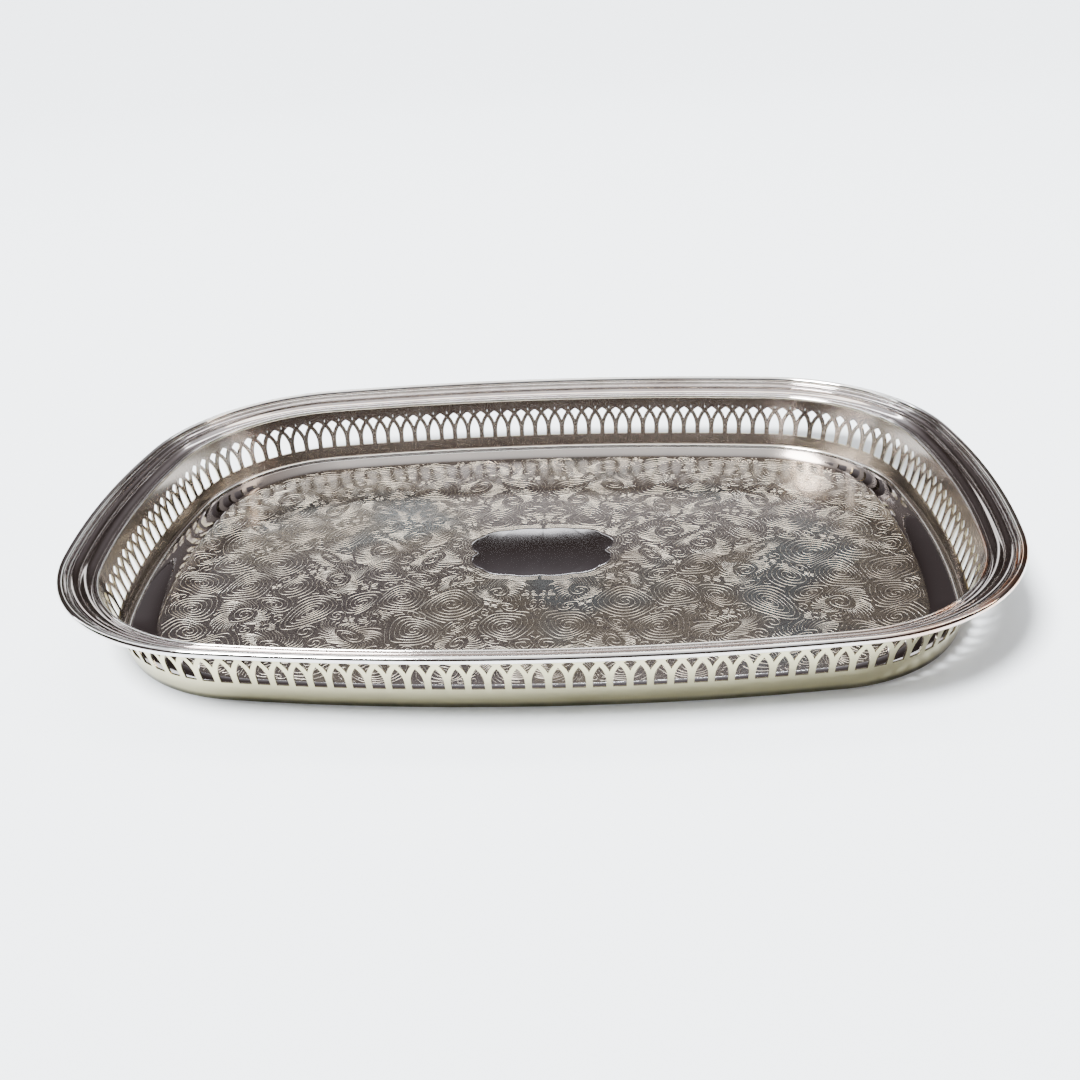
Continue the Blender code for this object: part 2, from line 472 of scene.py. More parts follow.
@dataclass(frozen=True)
class ChasedFinish:
    """The floor's finish: a burnished border, darkened at its two ends by a painted dark reflection, and
    a worked ground under the chased lines.
    """

    name: str = "floor_silver"
    ground: Colour = (0.29, 0.25, 0.235)
    warm: Colour = (0.35, 0.30, 0.24)
    cool: Colour = (0.28, 0.29, 0.285)
    dark: Colour = (0.20, 0.175, 0.17)
    border: Colour = (0.95, 0.96, 0.98)
    # Painted dark reflection: the border's colour at its left and right ends, standing in for the dark
    # arches it mirrors.
    painted_side_shade: Colour = (0.34, 0.30, 0.29)
    border_inset: float = 33.0 * MM
    border_blend: float = 0.3 * MM
    side_shade_ends: Pair = (105.0 * MM, 160.0 * MM)
    fleck_scale: float = 1500.0
    tooling_scale: float = 420.0
    patch_scale: float = 13.0
    tone_scale: float = 9.0
    smear_scale: float = 30.0
    tooling_depth: float = 0.05 * MM

    def build(self) -> bpy.types.Material:
        """Make the material.

        Returns:
            A material that reads Object coordinates and each point's inset.
        """
        material = bpy.data.materials.new(self.name)
        material.use_nodes = True
        tree = Tree(material.node_tree)
        shader = material.node_tree.nodes["Principled BSDF"]
        place = tree.node("ShaderNodeTexCoord").outputs["Object"]
        noise, mix = SilverFinish.noise, SilverFinish.mix
        kept = tree.node("ShaderNodeAttribute", {"attribute_name": "inset"})
        inset = tree.value(kept.outputs["Fac"])
        chased = inset.ramp(self.border_inset - self.border_blend, self.border_inset + self.border_blend)
        fleck = noise(tree, place, self.fleck_scale, 1.0)
        tooling = noise(tree, place, self.tooling_scale, 2.0)
        patch = noise(tree, place, self.patch_scale, 2.0)
        tone = noise(tree, place, self.tone_scale, 3.0)
        body = mix(tree, tone.ramp(0.42, 0.60), self.ground, self.warm)
        body = mix(tree, patch.ramp(0.54, 0.66), body, self.cool)
        body = mix(tree, tooling.ramp(0.50, 0.66) * 0.55, body, self.dark)
        # Painted dark reflection: the border turns darker towards both ends of the tray.
        across = abs(tree.value(tree.node("ShaderNodeSeparateXYZ", None, {0: place}).outputs[0]))
        side_shade_mask = across.ramp(*self.side_shade_ends) * (0.75 + tone * 0.4)
        border = mix(tree, side_shade_mask, self.border, self.painted_side_shade)
        tree.feed(shader.inputs["Base Color"], mix(tree, chased, border, body))
        shader.inputs["Metallic"].default_value = 1.0
        smear = noise(tree, place, self.smear_scale, 3.0)
        tree.feed(shader.inputs["Roughness"], 0.012 + chased * 0.15 + smear * 0.05)
        height = (fleck * 0.5 + tooling) * chased + smear * 0.4
        marks = {"Height": height, "Strength": 0.8, "Distance": self.tooling_depth}
        bump = tree.node("ShaderNodeBump", None, marks)
        tree.feed(shader.inputs["Normal"], bump.outputs["Normal"])
        return material


# ---------------------------------------------------------------------------
# Pieces
# ---------------------------------------------------------------------------


def add_piece(name: str, mesh: bpy.types.Mesh) -> bpy.types.Object:
    """Link a mesh as a piece with smooth shading.

    Args:
        name: The piece's name.
        mesh: Its mesh, already in place.

    Returns:
        The new object.
    """
    mesh.shade_smooth()
    mesh.set_sharp_from_angle(angle=math.radians(CUT_SHARP))
    piece = bpy.data.objects.new(name, mesh)
    bpy.context.scene.collection.objects.link(piece)
    return piece


@dataclass
class Stroke:
    """A line that a section is drawn along, with the section's scale at each point."""

    points: list[Vector]
    widths: Optional[list[float]] = None
    closed: bool = False


def strokes_object(name: str, strokes: Sequence[Stroke]) -> bpy.types.Object:
    """A mesh of edges only, one chain for each stroke, with the widths kept as "width".

    Args:
        name: The object's name.
        strokes: The lines.

    Returns:
        The object.
    """
    points: list[tuple[float, ...]] = []
    edges: list[tuple[int, int]] = []
    widths: list[float] = []
    for stroke in strokes:
        first = len(points)
        points += [tuple(point) for point in stroke.points]
        widths += stroke.widths or [1.0] * len(stroke.points)
        edges += [(index, index + 1) for index in range(first, len(points) - 1)]
        if stroke.closed:
            edges.append((len(points) - 1, first))
    mesh = bpy.data.meshes.new(name)
    mesh.from_pydata(points, edges, [])
    mesh.attributes.new("width", "FLOAT", "POINT").data.foreach_set("value", widths)
    guide = bpy.data.objects.new(name, mesh)
    bpy.context.scene.collection.objects.link(guide)
    return guide


class Workshop:
    """The two Geometry Nodes trees that the tray's metalwork is made with."""

    def __init__(self) -> None:
        """Build both trees."""
        self.sweep_tree = self._build_sweep()
        self.strip_tree = self._build_strip()

    @staticmethod
    def _new_tree(name: str, sockets: Sequence[tuple[str, str]]) -> Tree:
        """Start a tree that takes a geometry and these other inputs, and gives a geometry.

        Args:
            name: The tree's name.
            sockets: Each other input's name and type.

        Returns:
            The tree, empty.
        """
        group = bpy.data.node_groups.new(name, "GeometryNodeTree")
        group.interface.new_socket("Geometry", in_out="OUTPUT", socket_type="NodeSocketGeometry")
        group.interface.new_socket("Geometry", in_out="INPUT", socket_type="NodeSocketGeometry")
        for label, kind in sockets:
            group.interface.new_socket(label, in_out="INPUT", socket_type=kind)
        return Tree(group)

    @staticmethod
    def _finish(tree: Tree, geometry: Any, material: Any) -> bpy.types.NodeTree:
        """End a tree in Realize Instances and Set Material.

        Args:
            tree: The tree.
            geometry: The socket that carries the shape.
            material: The socket that carries the material.

        Returns:
            The finished tree.
        """
        realized = tree.node("GeometryNodeRealizeInstances", None, {0: geometry})
        dressed = tree.node(
            "GeometryNodeSetMaterial", None, {"Geometry": realized.outputs[0], "Material": material}
        )
        tree.node("NodeGroupOutput", None, {0: dressed.outputs[0]})
        return tree.tree

    def _build_sweep(self) -> bpy.types.NodeTree:
        """A tree that draws a section along a line of edges, as a drawn wire or moulding.

        Returns:
            The tree.
        """
        tree = self._new_tree("draw_through_section", [
            ("Section", "NodeSocketObject"), ("Material", "NodeSocketMaterial"),
        ])
        given = tree.node("NodeGroupInput")
        line = tree.node("GeometryNodeMeshToCurve", None, {0: given.outputs["Geometry"]})
        upright = tree.node("GeometryNodeSetCurveNormal", {"mode": "Z_UP"}, {0: line.outputs[0]})
        section = tree.node("GeometryNodeObjectInfo", None, {"Object": given.outputs["Section"]})
        outline = tree.node("GeometryNodeMeshToCurve", None, {0: section.outputs["Geometry"]})
        width = tree.node(
            "GeometryNodeInputNamedAttribute", {"data_type": "FLOAT"}, {"Name": "width"}
        )
        scaled = tree.node("GeometryNodeSetCurveRadius", None, {
            "Curve": upright.outputs[0], "Radius": width.outputs["Attribute"],
        })
        drawn = tree.node("GeometryNodeCurveToMesh", None, {
            "Curve": scaled.outputs[0], "Profile Curve": outline.outputs[0], "Fill Caps": True,
        })
        return self._finish(tree, drawn.outputs[0], given.outputs["Material"])

    def _build_strip(self) -> bpy.types.NodeTree:
        """A tree that repeats one bay in a row and bends the row round the tray's plan.

        Returns:
            The tree.
        """
        tree = self._new_tree("pierced_strip", [
            ("Line", "NodeSocketObject"), ("Bays", "NodeSocketInt"),
            ("Bay Width", "NodeSocketFloat"), ("Lead In", "NodeSocketFloat"),
            ("Lean", "NodeSocketFloat"), ("Material", "NodeSocketMaterial"),
        ])
        given = tree.node("NodeGroupInput")
        step = tree.node("ShaderNodeCombineXYZ", None, {0: given.outputs["Bay Width"]})
        row = tree.node("GeometryNodeMeshLine", {"mode": "OFFSET"}, {
            "Count": given.outputs["Bays"], "Offset": step.outputs[0],
        })
        placed = tree.node("GeometryNodeInstanceOnPoints", None, {
            "Points": row.outputs[0], "Instance": given.outputs["Geometry"],
        })
        solid = tree.node("GeometryNodeRealizeInstances", None, {0: placed.outputs[0]})
        joined = tree.node("GeometryNodeMergeByDistance", None, {
            0: solid.outputs[0], "Distance": MERGE_BAYS,
        })
        position = tree.node("GeometryNodeInputPosition")
        parts = tree.node("ShaderNodeSeparateXYZ", None, {0: position.outputs[0]})
        along = tree.value(parts.outputs[0]) + given.outputs["Lead In"]
        outward = tree.value(parts.outputs[1]) + tree.value(parts.outputs[2]) * given.outputs["Lean"]
        info = tree.node("GeometryNodeObjectInfo", None, {"Object": given.outputs["Line"]})
        line = tree.node("GeometryNodeMeshToCurve", None, {0: info.outputs["Geometry"]})
        sampled = tree.node("GeometryNodeSampleCurve", {"mode": "LENGTH"}, {
            "Curves": line.outputs[0], "Length": along,
        })
        cross = tree.node("ShaderNodeVectorMath", {"operation": "CROSS_PRODUCT"}, {
            0: sampled.outputs["Tangent"], 1: (0.0, 0.0, 1.0),
        })
        unit = tree.node("ShaderNodeVectorMath", {"operation": "NORMALIZE"}, {0: cross.outputs[0]})
        shift = tree.node("ShaderNodeVectorMath", {"operation": "SCALE"}, {
            0: unit.outputs[0], "Scale": outward,
        })
        rise = tree.node("ShaderNodeCombineXYZ", None, {2: parts.outputs[2]})
        moved = tree.node("ShaderNodeVectorMath", {"operation": "ADD"}, {
            0: sampled.outputs["Position"], 1: shift.outputs[0],
        })
        raised = tree.node("ShaderNodeVectorMath", {"operation": "ADD"}, {
            0: moved.outputs[0], 1: rise.outputs[0],
        })
        bent = tree.node("GeometryNodeSetPosition", None, {
            0: joined.outputs[0], "Position": raised.outputs[0],
        })
        return self._finish(tree, bent.outputs[0], given.outputs["Material"])

    @staticmethod
    def make(
        name: str, blank: bpy.types.Object, tree: bpy.types.NodeTree, inputs: dict[str, Any]
    ) -> bpy.types.Object:
        """Run a tree on a blank and keep the result as a plain piece.

        Args:
            name: The finished piece's name.
            blank: The object whose mesh the tree starts from. It is used up.
            tree: The tree to run.
            inputs: Values for the tree's named inputs.

        Returns:
            The finished piece, with no modifier.
        """
        modifier = blank.modifiers.new("make", "NODES")
        modifier.node_group = tree
        for item in tree.interface.items_tree:
            if item.in_out == "INPUT" and item.name in inputs:
                modifier[item.identifier] = inputs[item.name]
        ready = blank.evaluated_get(bpy.context.evaluated_depsgraph_get())
        mesh = bpy.data.meshes.new_from_object(ready)
        mesh.name = name
        bpy.data.objects.remove(blank, do_unlink=True)
        return add_piece(name, mesh)

    def draw(
        self, name: str, strokes: Sequence[Stroke], section: Sequence[Pair], material: bpy.types.Material
    ) -> bpy.types.Object:
        """Draw a section along one or more lines.

        Args:
            name: The finished piece's name.
            strokes: The lines that the section's origin follows.
            section: Pairs of distance outwards and distance upwards, in order round the section.
            material: The piece's material.

        Returns:
            The finished piece.
        """
        blank = strokes_object(name + "_line", strokes)
        turned = [Vector((out, -up, 0.0)) for out, up in section]
        die = strokes_object(name + "_section", [Stroke(turned, closed=True)])
        piece = self.make(name, blank, self.sweep_tree, {"Section": die, "Material": material})
        bpy.data.objects.remove(die, do_unlink=True)
        shell = bmesh.new()
        shell.from_mesh(piece.data)
        bmesh.ops.remove_doubles(shell, verts=shell.verts, dist=WELD)
        bmesh.ops.recalc_face_normals(shell, faces=shell.faces)
        shell.to_mesh(piece.data)
        shell.free()
        piece.data.shade_smooth()
        piece.data.set_sharp_from_angle(angle=math.radians(DRAWN_SHARP))
        return piece


def settle(piece: bpy.types.Object, slot: str, *nodes: str) -> None:
    """Make a piece ride on the tray, and hide the nodes it stands for.

    Args:
        piece: The piece.
        slot: The slot of the record that its finish belongs to. Not used.
        nodes: The nodes that it stands for, if any.
    """
    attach(piece, ROOT)
    if nodes:
        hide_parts(*nodes)
    log.info("%s: %d faces", piece.name, len(piece.data.polygons))


def round_section(radius: float, sides: int) -> list[Pair]:
    """The section of a round wire, about the line it follows."""
    turns = [2 * math.pi * side / sides for side in range(sides)]
    return [(radius * math.cos(turn), radius * math.sin(turn)) for turn in turns]


def arc_between(centre: Pair, radius: float, start: Pair, end: Pair, steps: int) -> list[Pair]:
    """Points on a circle from start to end, both ends included, the short way round.

    Args:
        centre: The circle's centre.
        radius: Its radius.
        start: The first point.
        end: The last point, or one in its direction.
        steps: How many steps to take.

    Returns:
        The points.
    """
    first = math.atan2(start[1] - centre[1], start[0] - centre[0])
    last = math.atan2(end[1] - centre[1], end[0] - centre[0])
    turn = (last - first + math.pi) % (2 * math.pi) - math.pi
    angles = [first + turn * step / steps for step in range(steps + 1)]
    return [(centre[0] + radius * math.cos(a), centre[1] + radius * math.sin(a)) for a in angles]


@dataclass
class Gallery:
    """The pierced wall of interlaced pointed arches."""

    plan: Plan
    workshop: Workshop
    finish: SilverFinish
    thickness: float = 0.9 * MM
    height: float = 28.3 * MM
    top_inset: float = 14.2 * MM
    sill: float = 9.6 * MM
    spring: float = 13.0 * MM
    arch_rise: float = 12.0 * MM
    rail: float = 24.7 * MM
    bar_below: float = 0.165
    bar_above: float = 0.095
    edge_round: float = 0.10 * MM
    steps: int = 7
    line_steps: int = 6

    def half_bay(self) -> tuple[list[Pair], list[bool]]:
        """Half a bay, from a column's middle line to a lancet's.

        Returns:
            The corners as (along, height) in order, and whether each corner's next edge is cut.
        """
        bay = self.plan.bay
        middle = bay / 2
        radius = (bay**2 + self.arch_rise**2) / (2 * bay)
        right = (radius, self.spring)
        left = (bay - radius, self.spring)
        inner = radius - self.bar_below * bay
        outer = radius + self.bar_above * bay

        def height_at(centre: Pair, reach: float, along: float) -> float:
            """How high a circle stands over a place along the bay."""
            return centre[1] + math.sqrt(reach**2 - (along - centre[0]) ** 2)

        jamb = (self.bar_below * bay, self.spring)
        lancet_tip = (middle, height_at(right, inner, middle))
        slit_foot = (middle, height_at(left, outer, middle))
        rail_crossing = left[0] + math.sqrt(outer**2 - (self.rail - self.spring) ** 2)
        kite_foot = (0.0, height_at(right, outer, 0.0))
        kite_tip = (0.0, height_at(left, inner, 0.0))
        kite_side = self._crossing(right, outer, left, inner)
        lancet = [(middle, self.sill), (jamb[0], self.sill)]
        lancet += arc_between(right, inner, jamb, lancet_tip, self.steps)
        slit = arc_between(left, outer, slit_foot, (bay - rail_crossing, self.rail), self.steps)
        slit = [(middle - abs(along - middle), height) for along, height in slit]
        kite = arc_between(left, inner, kite_tip, kite_side, self.steps)
        kite += arc_between(right, outer, kite_side, kite_foot, self.steps)[1:]
        corners = [(0.0, 0.0), (middle, 0.0)] + lancet
        cut = [True, False] + [True] * (len(lancet) - 1) + [False]
        corners += slit + [(middle, self.rail)]
        cut += [True] * len(slit) + [False]
        corners += [(middle, self.height), (0.0, self.height)] + kite
        cut += [True, False] + [True] * (len(kite) - 1) + [False]
        return corners, cut

    @staticmethod
    def _crossing(first: Pair, first_radius: float, second: Pair, second_radius: float) -> Pair:
        """Where two circles with level centres cross, above them.

        Args:
            first: The first centre.
            first_radius: Its circle's radius.
            second: The second centre.
            second_radius: Its circle's radius.

        Returns:
            The crossing.
        """
        apart = second[0] - first[0]
        along = (first_radius**2 - second_radius**2 + apart**2) / (2 * apart)
        return first[0] + along, first[1] + math.sqrt(first_radius**2 - along**2)

    def bay_mesh(self) -> bpy.types.Mesh:
        """One whole bay as an open-ended solid, lying along +X, its outer face at y = 0.

        Returns:
            The mesh, with how near each point is to the inner face kept as "inside".
        """
        corners, cut = self.half_bay()
        bay = self.plan.bay
        shell = bmesh.new()
        for mirror in (False, True):
            skins = []
            for depth in (0.0, -self.thickness):
                places = [(bay - along if mirror else along, depth, up) for along, up in corners]
                skins.append([shell.verts.new(place) for place in places])
            for skin in skins:
                shell.faces.new(skin)
            for index, is_cut in enumerate(cut):
                after = (index + 1) % len(corners)
                if is_cut:
                    quad = (skins[0][index], skins[0][after], skins[1][after], skins[1][index])
                    shell.faces.new(quad)
        bmesh.ops.remove_doubles(shell, verts=shell.verts, dist=WELD)
        bmesh.ops.recalc_face_normals(shell, faces=shell.faces)
        hair = 0.01 * MM
        outer_faces = [face for face in shell.faces if face.calc_center_median().y > -hair]
        if sum(face.calc_area() * face.normal.y for face in outer_faces) < 0:
            bmesh.ops.reverse_faces(shell, faces=shell.faces)
        crisp = [
            edge for edge in shell.edges
            if len(edge.link_faces) == 2 and edge.calc_face_angle(0.0) > math.radians(60)
            and abs(edge.verts[0].co.y - edge.verts[1].co.y) < hair
        ]
        bmesh.ops.bevel(
            shell, geom=crisp, offset=self.edge_round, segments=1, affect="EDGES", clamp_overlap=True
        )
        bmesh.ops.triangulate(shell, faces=[face for face in shell.faces if len(face.verts) > 4])
        mesh = bpy.data.meshes.new("bay")
        shell.to_mesh(mesh)
        shell.free()
        # This attribute is the mask of the painted shade on the wall's inner face.
        painted_inner_shade = mesh.attributes.new("painted_inner_shade", "FLOAT", "POINT")
        depths = [min(1.0, -vertex.co.y / self.thickness) for vertex in mesh.vertices]
        painted_inner_shade.data.foreach_set("value", depths)
        return mesh

    def build(self) -> None:
        """Make the four lengths of the wall."""
        material = self.finish.build()
        foot_inset = self.plan.foot_inset
        lean = (foot_inset - self.top_inset) / self.height
        bay = self.plan.bay
        mesh = self.bay_mesh()
        for side in Side:
            first, last = side.columns(self.plan)
            marks = range((first - 1) * self.line_steps, (last + 1) * self.line_steps + 1)
            step = bay / self.line_steps
            points = [self.plan.place(mark * step, foot_inset, 0.0) for mark in marks]
            line = strokes_object("wall_line", [Stroke(points)])
            blank = bpy.data.objects.new("bay", mesh.copy())
            bpy.context.scene.collection.objects.link(blank)
            inputs = {
                "Line": line, "Bays": last - first, "Bay Width": bay, "Lead In": bay,
                "Lean": lean, "Material": material,
            }
            name = "pierced_wall_" + side.value
            piece = self.workshop.make(name, blank, self.workshop.strip_tree, inputs)
            bpy.data.objects.remove(line, do_unlink=True)
            self._close_ends(piece)
            settle(piece, "gallery", "gallery_" + side.value)

    @staticmethod
    def _close_ends(piece: bpy.types.Object) -> None:
        """Cap the cut ends of a length.

        Args:
            piece: The length of wall.
        """
        shell = bmesh.new()
        shell.from_mesh(piece.data)
        open_edges = [edge for edge in shell.edges if edge.is_boundary]
        bmesh.ops.holes_fill(shell, edges=open_edges, sides=0)
        bmesh.ops.recalc_face_normals(shell, faces=shell.faces)
        shell.to_mesh(piece.data)
        shell.free()
        piece.data.shade_smooth()
        piece.data.set_sharp_from_angle(angle=math.radians(CUT_SHARP))


@dataclass
class Rim:
    """The stepped rim, its outer bead, its reed and its inner bead."""

    plan: Plan
    workshop: Workshop
    finish: SilverFinish
    bead_finish: SilverFinish
    bead_radius: float = 1.55 * MM
    bead_height: float = 34.05 * MM
    inner_bead_radius: float = 0.62 * MM
    inner_bead_inset: float = 14.45 * MM
    inner_bead_height: float = 29.05 * MM
    reed_radius: float = 0.40 * MM
    reed_inset: float = 4.05 * MM
    reed_height: float = 33.30 * MM
    under_line: tuple[Pair, ...] = (
        (14.2, 28.45), (12.4, 28.50), (10.4, 28.75), (8.8, 29.9), (8.1, 31.1), (5.4, 31.75), (2.6, 32.8),
    )
    line_steps: int = 4
    round_steps: int = 8

    def top_line(self) -> list[Pair]:
        """The moulding's upper side, from its inner edge out, as (inset, height).

        Returns:
            The points.
        """
        line: list[Pair] = [(14.2 * MM, 29.05 * MM)]
        line += self._ridge(12.85, 29.25, 0.34)
        line += self._curve((12.45, 29.30), (10.4, 29.45), (8.80, 30.95))
        line += self._curve((8.62, 31.05), (8.50, 31.40), (8.52, 31.95))
        line += self._ridge(8.15, 32.15, 0.36)
        line += self._curve((7.75, 32.15), (6.4, 32.15), (5.40, 32.70))
        line += self._ridge(5.00, 32.85, 0.33)
        line += self._curve((4.60, 32.90), (3.5, 32.95), (2.6, 33.60))
        return line

    def _curve(self, start: Pair, pull: Pair, end: Pair) -> list[Pair]:
        """A short curve through three millimetre points, the middle one pulling it.

        Args:
            start: Where it starts.
            pull: What it bends towards.
            end: Where it ends.

        Returns:
            Its points in metres.
        """
        found = []
        for step in range(self.round_steps + 1):
            t = step / self.round_steps
            pair = [
                (1 - t) ** 2 * a + 2 * t * (1 - t) * b + t**2 * c for a, b, c in zip(start, pull, end)
            ]
            found.append((pair[0] * MM, pair[1] * MM))
        return found

    def _ridge(self, inset: float, height: float, radius: float) -> list[Pair]:
        """A half round ridge of the moulding, given in millimetres.

        Args:
            inset: Its middle's inset.
            height: Its middle's height.
            radius: Its radius.

        Returns:
            Its points in metres.
        """
        turns = [math.pi * step / self.round_steps for step in range(self.round_steps + 1)]
        return [
            ((inset + radius * math.cos(turn)) * MM, (height + radius * math.sin(turn)) * MM)
            for turn in turns
        ]

    def section(self) -> list[Pair]:
        """The moulding's closed section, as (out, up) from the tray's edge.

        Returns:
            The points in order.
        """
        top = self.top_line()
        below = [(inset * MM, height * MM) for inset, height in reversed(self.under_line)]
        return [(-inset, height) for inset, height in top + below]

    def line(self, first: float, last: float, inset: float, height: float) -> list[Vector]:
        """Points along the plan from one distance to another, both in bays.

        Args:
            first: Where to start.
            last: Where to end.
            inset: How far in from the edge.
            height: How far above the base.

        Returns:
            The points.
        """
        count = round((last - first) * self.line_steps)
        step = (last - first) / count
        bay = self.plan.bay
        return [self.plan.place((first + step * mark) * bay, inset, height) for mark in range(count + 1)]

    def ring(self, inset: float, height: float) -> list[Vector]:
        """Points all the way round the plan."""
        return self.line(0, self.plan.bays, inset, height)[:-1]

    def build(self) -> None:
        """Make the moulding and the beads in four lengths, and the two wires whole."""
        silver = self.finish.build()
        bright = self.bead_finish.build()
        draw = self.workshop.draw
        bead = round_section(self.bead_radius, 24)
        for side in Side:
            first, last = side.columns(self.plan)
            edge = [Stroke(self.line(first, last, 0.0, 0.0))]
            moulding = draw("rim_moulding_" + side.value, edge, self.section(), silver)
            settle(moulding, "rim", "rim_" + side.value)
            centre = [Stroke(self.line(first, last, self.bead_radius, self.bead_height))]
            wire = draw("rolled_bead_" + side.value, centre, bead, bright)
            settle(wire, "outer_bead", "outer_bead_" + side.value)
        ring = [Stroke(self.ring(self.inner_bead_inset, self.inner_bead_height), closed=True)]
        inner = draw("inner_bead", ring, round_section(self.inner_bead_radius, 14), bright)
        settle(inner, "inner_bead", "rim_inner_bead")
        ring = [Stroke(self.ring(self.reed_inset, self.reed_height), closed=True)]
        reed = draw("fine_reed", ring, round_section(self.reed_radius, 12), bright)
        settle(reed, "rim_reed", "rim_reed")


@dataclass(frozen=True)
class Shield:
    """The field in the middle of the floor: a rounded oblong with lobes, and a cusp at each end."""

    half_length: float = 33.0 * MM
    half_width: float = 22.5 * MM
    squareness: float = 3.0
    lobes: int = 7
    lobe_depth: float = 0.035
    cusp_depth: float = 0.13
    cusp_spread: float = 0.13
    taper: float = 0.14
    points: int = 240

    def outline(self) -> list[Pair]:
        """The lobed edge, the same to left and right.

        Returns:
            Its points in order, from the middle of the right end.
        """
        power = self.squareness
        found = []
        for step in range(self.points):
            turn = 2 * math.pi * step / self.points
            across, up = math.cos(turn), math.sin(turn)
            cusp = math.exp(-((up / self.cusp_spread) ** 2))
            lobes = self.lobe_depth * abs(math.cos(self.lobes * turn)) - self.cusp_depth * cusp
            square = (abs(across) ** power + abs(up) ** power) ** (-1 / power)
            reach = square * (1 + lobes)
            narrow = 1 - self.taper * max(0.0, -up)
            found.append((self.half_length * reach * across * narrow, self.half_width * reach * up))
        return found


@dataclass(frozen=True)
class Motif:
    """A round patch of the chasing, with its centre, its radius and its hand."""

    x: float
    y: float
    radius: float
    hand: int
    turn: float


@dataclass
class Chasing:
    """The scrollwork of the floor: packed scrolls, leaves and flowers, mirrored left to right."""

    plan: Plan
    workshop: Workshop
    finish: SilverFinish
    level: float = 1.5 * MM
    gap: float = 2.0 * MM
    step: float = 1.2 * MM
    cut_width: float = 0.125 * MM
    cut_height: float = 0.055 * MM
    edge_inset: float = 33.8 * MM
    shield_length: float = 37.5 * MM
    shield_width: float = 26.5 * MM
    overlap: float = 3.6 * MM
    plain_spots: tuple[Pair, ...] = (
        (13.0 * MM, 33.0 * MM), (7.0 * MM, 28.5 * MM), (22.0 * MM, 28.0 * MM),
    )
    plain_radius: float = 2.1 * MM
    frame_scales: tuple[float, ...] = (1.045, 1.09, 1.135)
    sizes: tuple[tuple[float, float, int], ...] = (
        (8.0, 11.5, 1200), (5.5, 8.0, 2500), (3.4, 5.5, 4500), (2.3, 3.4, 5000),
    )
    sway: float = 2.6 * MM
    calm: float = 6.0 * MM
    large: float = 4.4 * MM
    seed: int = 5

    def room(self, x: float, y: float) -> float:
        """How far a place is from the border, the tray's middle line and the shield.

        Args:
            x: Its place along the tray.
            y: Its place across the tray.

        Returns:
            The least of the three.
        """
        border = self.plan.inset_at(x, y) - self.edge_inset
        reach = math.hypot(x / self.shield_length, y / self.shield_width)
        shield = (1 - 1 / max(reach, 0.1)) * math.hypot(x, y)
        return min(border, x, shield)

    def pack(self) -> list[Motif]:
        """Fill the right half of the floor with touching motifs, large ones first.

        Returns:
            The motifs.
        """
        dice = random.Random(self.seed)
        spots = numpy.empty((0, 3))
        found: list[Motif] = []
        half_length = self.plan.half_length - self.edge_inset
        half_width = self.plan.half_width - self.edge_inset
        for least, most, tries in self.sizes:
            for _ in range(tries):
                x = dice.uniform(0, half_length)
                y = dice.uniform(-half_width, half_width)
                room = self.room(x, y)
                if room < least * MM:
                    continue
                if len(spots):
                    apart = numpy.hypot(spots[:, 0] - x, spots[:, 1] - y) - spots[:, 2]
                    room = min(room, float(apart.min()))
                if room < least * MM:
                    continue
                radius = min(room, most * MM)
                spots = numpy.vstack([spots, (x, y, radius)])
                found.append(Motif(x, y, radius, dice.choice((-1, 1)), dice.uniform(0, 2 * math.pi)))
        return found

    def bend(self, x: float, y: float) -> Pair:
        """Sway the drawing, which keeps to the border and to the middle line.

        Args:
            x: A point's place along the tray.
            y: Its place across the tray.

        Returns:
            Where the point goes.
        """
        sway = self.sway * min(1.0, max(0.0, self.room(x, y) / self.calm))
        return x + sway * math.sin(y * 170 + x * 60), y + sway * math.sin(x * 190 - y * 50)

    def spiral(self, motif: Motif, outer: float, inner: float, arms: int) -> list[list[Pair]]:
        """Lines that wind inwards from one radius to another, the same gap between them all.

        Args:
            motif: The patch to fill.
            outer: The radius to start at.
            inner: The radius to end at.
            arms: How many lines.

        Returns:
            The lines.
        """
        lines = []
        for arm in range(arms):
            line, reach = [], outer
            angle = motif.turn + 2 * math.pi * arm / arms
            while reach > inner:
                line.append((motif.x + reach * math.cos(angle), motif.y + reach * math.sin(angle)))
                turn = min(self.step / reach, 0.7)
                angle += motif.hand * turn
                reach -= self.gap * arms * turn / (2 * math.pi)
            lines.append(line)
        return lines

    def leaves(self, motif: Motif, inner: float, outer: float, lobes: int) -> list[list[Pair]]:
        """Curved strokes that fan across a band, in lobes, like the edge of an acanthus leaf.

        Args:
            motif: The patch to fill.
            inner: The band's inner radius.
            outer: The band's outer radius.
            lobes: How many lobes.

        Returns:
            The lines.
        """
        lines = []
        count = max(6, round(2 * math.pi * (inner * 0.45 + outer * 0.55) / self.gap))
        steps = max(2, round((outer - inner) * 1.4 / self.step))
        for stroke in range(count):
            part = stroke / count
            lobe = abs(math.sin(math.pi * lobes * part))
            tip = outer - (outer - inner) * 0.30 * (1 - lobe)
            line = []
            for mark in range(steps + 1):
                way = mark / steps
                reach = inner + (tip - inner) * way
                angle = motif.turn + motif.hand * (2 * math.pi * part + 0.75 * way**1.6)
                line.append((motif.x + reach * math.cos(angle), motif.y + reach * math.sin(angle)))
            lines.append(line)
        return lines

    def flower(self, motif: Motif) -> list[list[Pair]]:
        """Six petal outlines.

        Args:
            motif: The patch to fill.

        Returns:
            The lines.
        """
        lines = []
        for petal in range(6):
            angle = motif.turn + petal * math.pi / 3
            line = []
            for mark in range(9):
                way = mark / 8
                reach = motif.radius * (0.22 + 0.74 * math.sin(math.pi * way))
                side = angle + (way - 0.5) * 0.85
                line.append((motif.x + reach * math.cos(side), motif.y + reach * math.sin(side)))
            lines.append(line)
        return lines

